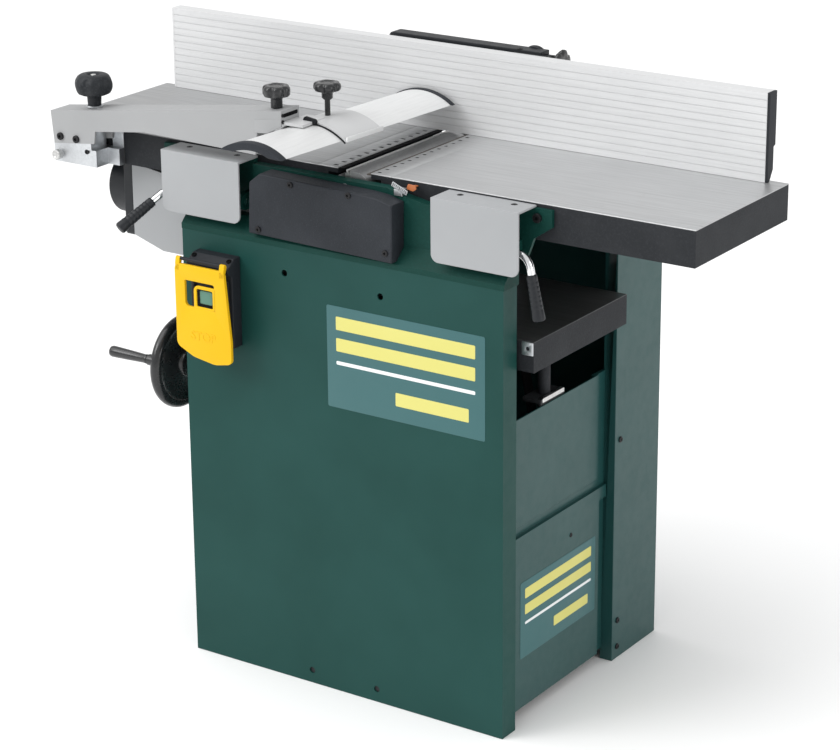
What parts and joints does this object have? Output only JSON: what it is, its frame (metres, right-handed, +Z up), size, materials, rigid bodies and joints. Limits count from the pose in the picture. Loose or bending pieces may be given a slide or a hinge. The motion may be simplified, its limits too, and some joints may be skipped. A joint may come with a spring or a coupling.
{
  "type": "thickness planer",
  "caption": "Combined planer and thicknesser: hinged surface tables, tilting fence, bridge guard, rising thicknessing table, chip hood and sheet-steel stand.",
  "frame": {"origin": "centre of the four floor bolt holes on the floor plane, under the middle of the cutterblock's length along the tables", "axes": "+X along the surface tables towards the infeed end, +Y from the operator's side to the fence side, +Z up"},
  "size_m": [1.085, 0.5594, 0.9204],
  "materials": {
    "green_paint": "satin powder coat",
    "dark_steel": "black oxide or dark paint",
    "bright_steel": "ground steel",
    "ground_iron": "ground top, dark painted sides",
    "grey_paint": "light grey satin",
    "black_plastic": "matt moulded",
    "chrome": "polished",
    "aluminium": "satin anodised extrusion",
    "yellow_plastic": "smooth moulded",
    "green_button": "smooth moulded",
    "red_button": "smooth moulded",
    "motor_paint": "dark grey",
    "cast_pulley": "turned",
    "rubber": "matt"
  },
  "bodies": {
    "frame": {"front_panel": "green_paint", "rear_column": "green_paint", "side_panels": "green_paint", "base_rails": "dark_steel", "frame_fasteners": "dark_steel", "cross_member": "dark_steel", "lift_brackets": "dark_steel", "machine_casting": "green_paint", "cutter_bearings": "bright_steel", "front_cover": "black_plastic", "table_hinges": "dark_steel", "switch_box": "black_plastic", "dust_hood": "grey_paint", "dust_port": "black_plastic", "motor": "motor_paint", "drive_belt": "rubber", "cable_gland": "black_plastic"},
    "infeed_carrier": {"infeed_carrier": "green_paint", "infeed_lever_cover": "grey_paint", "fence_base": "dark_steel"},
    "infeed_table": {"infeed_table": "ground_iron", "infeed_lip": "bright_steel"},
    "depth_knob": {"depth_knob": "black_plastic"},
    "outfeed_table": {"outfeed_table": "ground_iron", "outfeed_lip": "bright_steel", "outfeed_bracket": "green_paint", "outfeed_lever_cover": "grey_paint", "guard_bracket": "dark_steel"},
    "infeed_lever": {"infeed_lever_rod": "chrome", "infeed_lever_grip": "black_plastic"},
    "outfeed_lever": {"outfeed_lever_rod": "chrome", "outfeed_lever_grip": "black_plastic"},
    "fence_carriage": {"fence_carriage": "dark_steel"},
    "fence_lock": {"fence_lock_lever": "black_plastic"},
    "fence": {"fence": "aluminium", "fence_end_caps": "black_plastic", "fence_bracket": "dark_steel", "rear_guard": "black_plastic"},
    "tilt_knob": {"tilt_knob": "black_plastic"},
    "guard_arm": {"guard_arm": "grey_paint", "guard_holder": "grey_paint"},
    "arm_height_knob": {"arm_height_knob": "black_plastic"},
    "arm_clamp_knob": {"arm_clamp_knob": "black_plastic"},
    "guard_clamp_knob": {"guard_clamp_knob": "black_plastic"},
    "guard": {"guard_cover": "aluminium", "guard_end_caps": "black_plastic"},
    "switch_flap": {"switch_flap": "yellow_plastic"},
    "start_button": {"start_button": "green_button"},
    "stop_button": {"stop_button": "red_button"},
    "cutterblock": {"cutterblock": "bright_steel", "cutter_knives": "bright_steel", "cutter_pulley": "cast_pulley"},
    "motor_pulley": {"motor_pulley": "cast_pulley"},
    "infeed_roller": {"infeed_roller": "bright_steel"},
    "outfeed_roller": {"outfeed_roller": "bright_steel"},
    "handwheel": {"handwheel": "black_plastic", "handwheel_shaft": "dark_steel"},
    "crank_grip": {"crank_grip": "black_plastic"},
    "lift_screw": {"lift_screw": "bright_steel"},
    "thickness_table": {"thickness_table": "ground_iron"}
  },
  "joints": [
    {"name": "infeed_table_lift", "type": "hinge", "parent": "frame", "child": "infeed_carrier", "pos_m": [0, 0.126, 0.757], "axis": [-1, 0, 0], "range_deg": [0, 90]},
    {"name": "outfeed_table_lift", "type": "hinge", "parent": "frame", "child": "outfeed_table", "pos_m": [0, 0.126, 0.757], "axis": [-1, 0, 0], "range_deg": [0, 90]},
    {"name": "infeed_depth", "type": "slide", "parent": "infeed_carrier", "child": "infeed_table", "axis": [0, 0, -1], "range_m": [0, 0.003]},
    {"name": "depth_knob_turn", "type": "hinge", "parent": "infeed_carrier", "child": "depth_knob", "pos_m": [0.1725, -0.046, 0.704], "axis": [0, 0, 1], "range_deg": [0, 721]},
    {"name": "fence_slide", "type": "slide", "parent": "infeed_carrier", "child": "fence_carriage", "axis": [0, -1, 0], "range_m": [0, 0.09]},
    {"name": "fence_lock_turn", "type": "hinge", "parent": "fence_carriage", "child": "fence_lock", "pos_m": [0.11, 0.15, 0.805], "axis": [0, 0, -1], "range_deg": [0, 60]},
    {"name": "fence_tilt", "type": "hinge", "parent": "fence_carriage", "child": "fence", "pos_m": [0.118, 0.091, 0.797], "axis": [-1, 0, 0], "range_deg": [0, 45]},
    {"name": "tilt_knob_turn", "type": "hinge", "parent": "fence", "child": "tilt_knob", "pos_m": [0.15, 0.113, 0.8989], "axis": [1, 0, 0], "range_deg": [0, 180]},
    {"name": "guard_arm_lift", "type": "hinge", "parent": "outfeed_table", "child": "guard_arm", "pos_m": [-0.4947, -0.201, 0.7756], "axis": [0, -1, 0], "range_deg": [-2, 6]},
    {"name": "arm_height_knob_turn", "type": "hinge", "parent": "guard_arm", "child": "arm_height_knob", "pos_m": [-0.4445, -0.201, 0.8229], "axis": [0, 0, 1], "range_deg": [-271, 811]},
    {"name": "arm_clamp_knob_turn", "type": "hinge", "parent": "guard_arm", "child": "arm_clamp_knob", "pos_m": [-0.11, -0.201, 0.8666], "axis": [0, 0, 1], "range_deg": [0, 180]},
    {"name": "guard_clamp_knob_turn", "type": "hinge", "parent": "guard_arm", "child": "guard_clamp_knob", "pos_m": [-0.0595, -0.15, 0.8733], "axis": [0, 0, 1], "range_deg": [0, 180]},
    {"name": "guard_slide", "type": "slide", "parent": "guard_arm", "child": "guard", "axis": [-0.068, -0.9977, 0], "range_m": [0, 0.0901]},
    {"name": "infeed_lever_swing", "type": "hinge", "parent": "infeed_carrier", "child": "infeed_lever", "pos_m": [0.23, -0.205, 0.722], "axis": [-1, 0, 0], "range_deg": [0, 64]},
    {"name": "outfeed_lever_swing", "type": "hinge", "parent": "outfeed_table", "child": "outfeed_lever", "pos_m": [-0.23, -0.205, 0.722], "axis": [-1, 0, 0], "range_deg": [-56, 0]},
    {"name": "bed_lift", "type": "slide", "parent": "frame", "child": "thickness_table", "axis": [0, 0, 1], "range_m": [-0.054, 0]},
    {"name": "handwheel_spin", "type": "hinge", "parent": "frame", "child": "handwheel", "pos_m": [-0.33, -0.16, 0.438], "axis": [1, 0, 0], "range_deg": [-4861, 0]},
    {"name": "lift_screw_spin", "type": "hinge", "parent": "frame", "child": "lift_screw", "pos_m": [-0.11, -0.16, 0.4], "axis": [0, 0, 1], "range_deg": [0, 4861]},
    {"name": "crank_grip_spin", "type": "hinge", "parent": "handwheel", "child": "crank_grip", "pos_m": [-0.38, -0.22085, 0.45431], "axis": [1, 0, 0], "continuous": true},
    {"name": "cutter_spin", "type": "hinge", "parent": "frame", "child": "cutterblock", "pos_m": [0, -0.046, 0.751], "axis": [0, 1, 0], "continuous": true},
    {"name": "motor_spin", "type": "hinge", "parent": "frame", "child": "motor_pulley", "pos_m": [0.1, 0.13, 0.15], "axis": [0, 1, 0], "continuous": true},
    {"name": "infeed_roller_spin", "type": "hinge", "parent": "frame", "child": "infeed_roller", "pos_m": [-0.05, -0.046, 0.729], "axis": [0, 1, 0], "continuous": true},
    {"name": "outfeed_roller_spin", "type": "hinge", "parent": "frame", "child": "outfeed_roller", "pos_m": [0.05, -0.046, 0.729], "axis": [0, 1, 0], "continuous": true},
    {"name": "switch_flap_swing", "type": "hinge", "parent": "frame", "child": "switch_flap", "pos_m": [-0.2, -0.257, 0.638], "axis": [-1, 0, 0], "range_deg": [0, 110]},
    {"name": "start_button_press", "type": "slide", "parent": "frame", "child": "start_button", "axis": [0, 1, 0], "range_m": [0, 0.003], "stiffness_N_per_m": 600, "springref_m": -0.002},
    {"name": "stop_button_press", "type": "slide", "parent": "frame", "child": "stop_button", "axis": [0, 1, 0], "range_m": [0, 0.003], "stiffness_N_per_m": 600, "springref_m": -0.002}
  ],
  "couplings": [
    {"joint": "outfeed_table_lift", "follows": "infeed_table_lift", "ratio": 1},
    {"joint": "depth_knob_turn", "follows": "infeed_depth", "rad_per_m": 4188.8},
    {"joint": "guard_slide", "follows": "fence_slide", "ratio": 1},
    {"joint": "arm_height_knob_turn", "follows": "guard_arm_lift", "ratio": 135},
    {"joint": "handwheel_spin", "follows": "bed_lift", "rad_per_m": 1570.8},
    {"joint": "lift_screw_spin", "follows": "bed_lift", "rad_per_m": -1570.8},
    {"joint": "motor_spin", "follows": "cutter_spin", "ratio": 0.729},
    {"joint": "infeed_roller_spin", "follows": "cutter_spin", "ratio": -0.0125},
    {"joint": "outfeed_roller_spin", "follows": "cutter_spin", "ratio": -0.0125}
  ]
}
